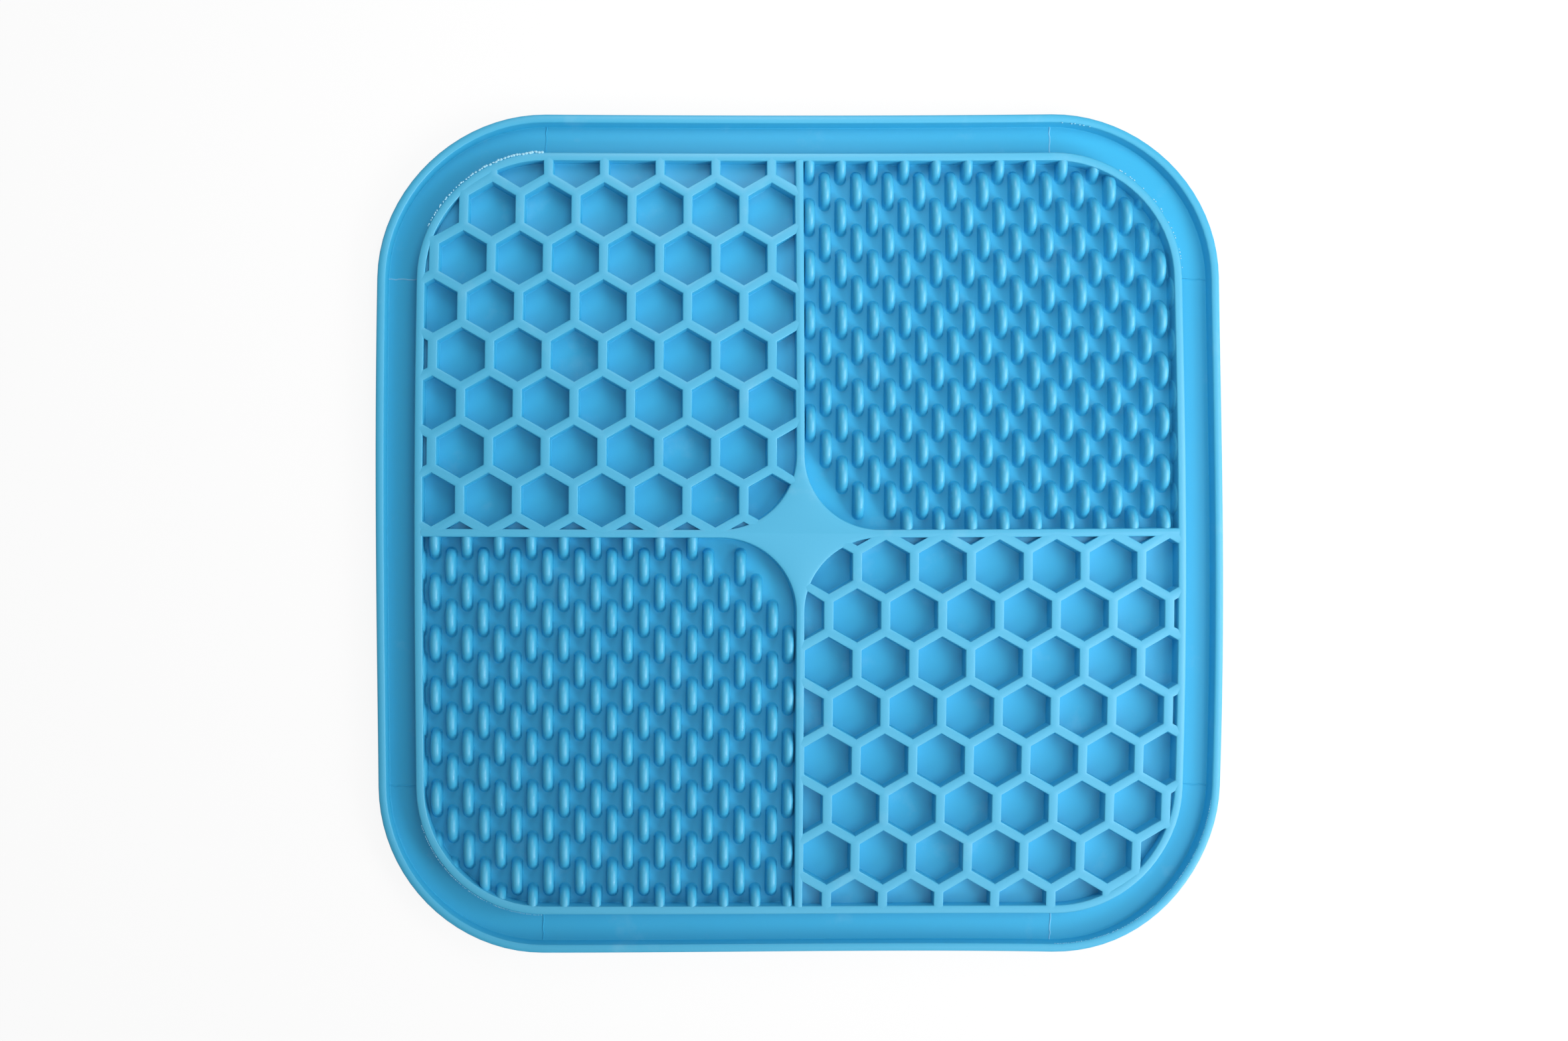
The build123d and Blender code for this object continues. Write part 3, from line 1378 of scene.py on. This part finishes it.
@dataclass
class MouldFlash(MouldedPiece):
    """The pale specks of torn flash on the frame's and the rim's edges.

    Attributes:
        rows: The rows of specks.
        below_edge: How far a speck's middle lies below the wall's top.
        past_edge: How far it lies past the wall's edge.
        seed: What the chances start from.
        broken: How far a speck's edges are broken, as a share of its length.
        proportions: Its size along X, Y and Z, as shares of its length.
        taper: How much of that size is left towards its far end.
        stray: How far it may lie to either side of the row, as a share of its length.
        step_chance: Where it may lie in its own step of the row.
        size_chance: The share of the row's size that it may have.
        turn_chance: How far in radians it may be turned either way.
        smooth_angle: The sharpest edge that is shaded smooth.
    """

    rows: tuple[SpeckRow, ...] = (
        SpeckRow("back_left_flash", (-1, 1), False, (91, 157), 0.00075, (0.0009, 0.0004)),
        SpeckRow("back_right_flash", (1, 1), False, (62, 4), 0.0007, (0.00045, 0.00035), 0.5),
        SpeckRow("front_left_flash", (-1, -1), False, (197, 270), 0.00042, (0.00026, 0.00022), 0.85),
        SpeckRow("front_right_flash", (1, -1), True, (270, 355), 0.00045, (0.00024, 0.0002), 0.8),
        SpeckRow("back_right_rim_flash", (1, 1), True, (90, 75), 0.0009, (0.0005, 0.0003), 0.7),
    )
    below_edge: float = 0.00015
    past_edge: float = 0.00012
    seed: int = 7
    broken: float = 0.28
    proportions: tuple[float, float, float] = (0.75, 1, 0.55)
    taper: tuple[float, float, float] = (0.7, 1, 0.8)
    stray: float = 0.15
    step_chance: Span = (0.2, 0.8)
    size_chance: Span = (0.75, 1.15)
    turn_chance: float = 0.4
    smooth_angle: float = math.radians(60)

    def build(self) -> list[bpy.types.Object]:
        """Model one speck and copy it along every row.

        Returns:
            One piece for each row.
        """
        chance = random.Random(self.seed)
        speck = self.one_speck()
        pieces = []
        for row in self.rows:
            pieces.append(self.dress(scatter(speck, self.places(row, chance), row.name)))
        bpy.data.objects.remove(speck)
        return pieces

    def one_speck(self) -> bpy.types.Object:
        """Model a speck of unit length along Y, as a lump with broken corners.

        Returns:
            The speck, at the mat's middle.
        """
        bpy.ops.object.select_all(action="DESELECT")
        bpy.ops.mesh.primitive_cube_add(size=1)
        speck = open_new("speck")
        bpy.ops.mesh.bevel(offset=self.broken, segments=1, affect="EDGES")
        bpy.ops.mesh.select_all(action="SELECT")
        bpy.ops.transform.resize(value=self.proportions)
        pick_vertices(speck, lambda place: place.y > 0)
        bpy.ops.transform.resize(value=self.taper)
        return close_mesh(speck, self.smooth_angle)

    def places(self, row: SpeckRow, chance: random.Random) -> list[Matrix]:
        """List where the specks of a row cling.

        Args:
            row: The row.
            chance: What picks the specks that are missing and how each one lies.

        Returns:
            The transform of each speck.
        """
        sizes = self.sizes
        if row.on_rim:
            edge, height, out = sizes.half_side - sizes.rim_width, sizes.rim_top, -self.past_edge
        else:
            edge, height, out = sizes.frame_foot - sizes.wall_flare, sizes.wall_top, self.past_edge
        radius = edge - sizes.corner_centre + out
        start, end = (math.radians(turn) for turn in row.turns)
        count = round(abs(end - start) * radius / row.spacing)
        places = []
        for step in range(count):
            if chance.random() > row.kept:
                continue
            turn = start + (end - start) * (step + chance.uniform(*self.step_chance)) / count
            size = row.sizes[0] + (row.sizes[1] - row.sizes[0]) * step / count
            size *= chance.uniform(*self.size_chance)
            reach = radius + size * chance.uniform(-self.stray, self.stray)
            centre = Vector((*(sign * sizes.corner_centre for sign in row.corner), height - self.below_edge))
            centre += reach * Vector((math.cos(turn), math.sin(turn), 0))
            lie = Matrix.Rotation(turn + chance.uniform(-self.turn_chance, self.turn_chance), 4, "Z")
            places.append(Matrix.Translation(centre) @ lie @ Matrix.Scale(size, 4))
        return places


@dataclass(frozen=True)
class Lamp:
    """A round soft lamp aimed at the mat.

    Attributes:
        name: The lamp's name.
        place: Where it hangs.
        size: Its width.
        energy: Its power in watts.
        aim: The point on the floor at which it is aimed.
        spread: The angle into which it shines.
    """

    name: str
    place: tuple[float, float, float]
    size: float
    energy: float
    aim: tuple[float, float] = (0.0, 0.0)
    spread: float = math.pi

    def add(self) -> None:
        """Hang the lamp."""
        light = bpy.data.lights.new(self.name, "AREA")
        light.shape = "DISK"
        light.size = self.size
        light.energy = self.energy
        light.spread = self.spread
        holder = bpy.data.objects.new(self.name, light)
        holder.location = self.place
        ahead = Vector((*self.aim, 0.0)) - holder.location
        holder.rotation_euler = ahead.to_track_quat("-Z", "Y").to_euler()
        bpy.context.collection.objects.link(holder)


@dataclass
class Studio:
    """The pale floor, the soft lamps and the camera above the mat.

    Attributes:
        lamps: The lamps.
        room_light: The strength of the even light from all round.
        room_colour: Its colour.
        floor_width: The floor's side.
        floor_colour: Its colour.
        floor_roughness: Its dull surface.
        glow_share: How much of what is seen of the floor is plain white, so that shadows stay faint.
        backdrop_height: How far the floor's edges turn up.
        photo_width: The photograph's width in pixels.
        photo_height: Its height in pixels.
        focal_pixels: The lens's focal length in pixels.
        camera_height: How far above the mat's underside the camera is.
        camera_place: The point that it is straight above.
        nadir_pixel: The pixel at which that point is seen.
        sensor_width: The sensor's width in millimetres.
    """

    lamps: tuple[Lamp, ...] = (
        Lamp("window", (0.8, -0.5, 0.5), 0.4, 0.64, (0.15, 0.04), 1.0),
        Lamp("ceiling_lamp", (0.2, 0.0, 0.7), 0.8, 0.325, (0.15, 0.1), 1.4),
        Lamp("right_lamp", (0.3, 0.0, 0.3), 0.2, 0.5),
        Lamp("low_right_lamp", (0.45, 0.0, 0.2), 0.2, 0.36),
        Lamp("back_lamp", (0.0, 0.2, 0.2), 0.15, 0.25),
        Lamp("front_lamp", (0.1, -0.3, 0.3), 0.3, 0.07, (0.1, 0.0), 1.4),
        Lamp("front_right_lamp", (0.3, -0.2, 0.4), 0.3, 0.22),
    )
    room_light: float = 0.27
    room_colour: Colour = (1.0, 1.0, 1.0, 1.0)
    floor_width: float = 6.0
    floor_colour: Colour = (0.86, 0.86, 0.86, 1.0)
    floor_roughness: float = 0.8
    glow_share: float = 0.9
    backdrop_height: float = 0.6
    photo_width: int = 2361
    photo_height: int = 1568
    focal_pixels: float = 2720.0
    camera_height: float = 0.4351
    camera_place: tuple[float, float] = (-0.03552, -0.00295)
    nadir_pixel: tuple[float, float] = (977.0, 820.0)
    sensor_width: float = 36.0

    def build(self) -> None:
        """Add the floor, the light and the camera."""
        self.add_floor()
        self.add_light()
        self.add_camera()

    def add_floor(self) -> None:
        """Add a broad floor with turned-up edges."""
        bpy.ops.object.select_all(action="DESELECT")
        bpy.ops.mesh.primitive_plane_add(size=self.floor_width)
        floor = bpy.context.object
        floor.name = "floor"
        bpy.ops.object.mode_set(mode="EDIT")
        bpy.ops.mesh.select_mode(type="EDGE")
        bpy.ops.mesh.select_all(action="SELECT")
        bpy.ops.mesh.extrude_edges_move(TRANSFORM_OT_translate={"value": (0, 0, self.backdrop_height)})
        bpy.ops.object.mode_set(mode="OBJECT")
        floor.data.materials.append(self.floor_material())

    def floor_material(self) -> bpy.types.Material:
        """Make a pale material that looks white and keeps the mat's shadow.

        Returns:
            The material.
        """
        material = bpy.data.materials.new("pale_floor")
        material.use_nodes = True
        nodes = material.node_tree.nodes
        link = material.node_tree.links.new
        shader = nodes["Principled BSDF"]
        shader.inputs["Base Color"].default_value = self.floor_colour
        shader.inputs["Roughness"].default_value = self.floor_roughness
        glow = nodes.new("ShaderNodeEmission")
        paths = nodes.new("ShaderNodeLightPath")
        seen = paths.outputs["Is Camera Ray"]
        for ray in ("Is Glossy Ray", "Is Transmission Ray"):
            either = nodes.new("ShaderNodeMath")
            either.operation = "MAXIMUM"
            link(seen, either.inputs[0])
            link(paths.outputs[ray], either.inputs[1])
            seen = either.outputs["Value"]
        share = nodes.new("ShaderNodeMath")
        share.operation = "MULTIPLY"
        share.inputs[1].default_value = self.glow_share
        link(seen, share.inputs[0])
        mix = nodes.new("ShaderNodeMixShader")
        link(share.outputs["Value"], mix.inputs["Fac"])
        link(shader.outputs["BSDF"], mix.inputs[1])
        link(glow.outputs["Emission"], mix.inputs[2])
        link(mix.outputs["Shader"], nodes["Material Output"].inputs["Surface"])
        return material

    def add_light(self) -> None:
        """Add the lamps and an even pale world."""
        for lamp in self.lamps:
            lamp.add()
        world = bpy.data.worlds.new("pale_room")
        world.use_nodes = True
        backdrop = world.node_tree.nodes["Background"]
        backdrop.inputs["Color"].default_value = self.room_colour
        backdrop.inputs["Strength"].default_value = self.room_light
        bpy.context.scene.world = world

    def add_camera(self) -> None:
        """Add the camera, straight above, with the shift that the photograph's framing needs."""
        lens = bpy.data.cameras.new("camera")
        lens.sensor_width = self.sensor_width
        lens.lens = self.focal_pixels / self.photo_width * self.sensor_width
        lens.shift_x = (self.photo_width / 2 - self.nadir_pixel[0]) / self.photo_width
        lens.shift_y = (self.nadir_pixel[1] - self.photo_height / 2) / self.photo_width
        camera = bpy.data.objects.new("camera", lens)
        camera.location = (*self.camera_place, self.camera_height)
        bpy.context.collection.objects.link(camera)
        bpy.context.scene.camera = camera


def main() -> None:
    """Build the mat piece by piece, then the studio, and log each piece's faces."""
    logging.basicConfig(level=logging.INFO, format="%(message)s")
    bpy.context.scene.view_settings.view_transform = "Standard"
    sizes = MatSizes.from_frame()
    finish = Silicone(sizes.sheet_top, sizes.wall_top).material("satin_blue_silicone")
    lie = SoftLie(sizes.half_side)
    for sub_assembly in (BaseSheet, OuterRim, InnerFrame, CentreStar, Dividers, Honeycombs, Nubs):
        sub_assembly(sizes, finish, lie).build()
    torn = Silicone(
        sizes.sheet_top,
        sizes.wall_top,
        # The flash's pale blue is its own; its top colour is paler still as painted sheen and its sheet
        # colour deeper as painted shade.
        sheen_top_colour=(0.3, 0.62, 0.78, 1.0),
        shaded_sheet_colour=(0.15, 0.5, 0.74, 1.0),
    )
    pale = torn.material("pale_torn_silicone")
    pale_seams = ((Side.LEFT, -1), (Side.BACK, -1), (Side.FRONT, 1))
    plain_seams = ((Side.BACK, 1), (Side.RIGHT, 1), (Side.RIGHT, -1), (Side.LEFT, 1), (Side.FRONT, -1))
    ChannelSeams(sizes, pale, lie, pale_seams, "pale_seams").build()
    ChannelSeams(sizes, finish, lie, plain_seams, "plain_seams").build()
    MouldFlash(sizes, pale, lie).build()
    Studio().build()


if __name__ == "__main__":
    main()
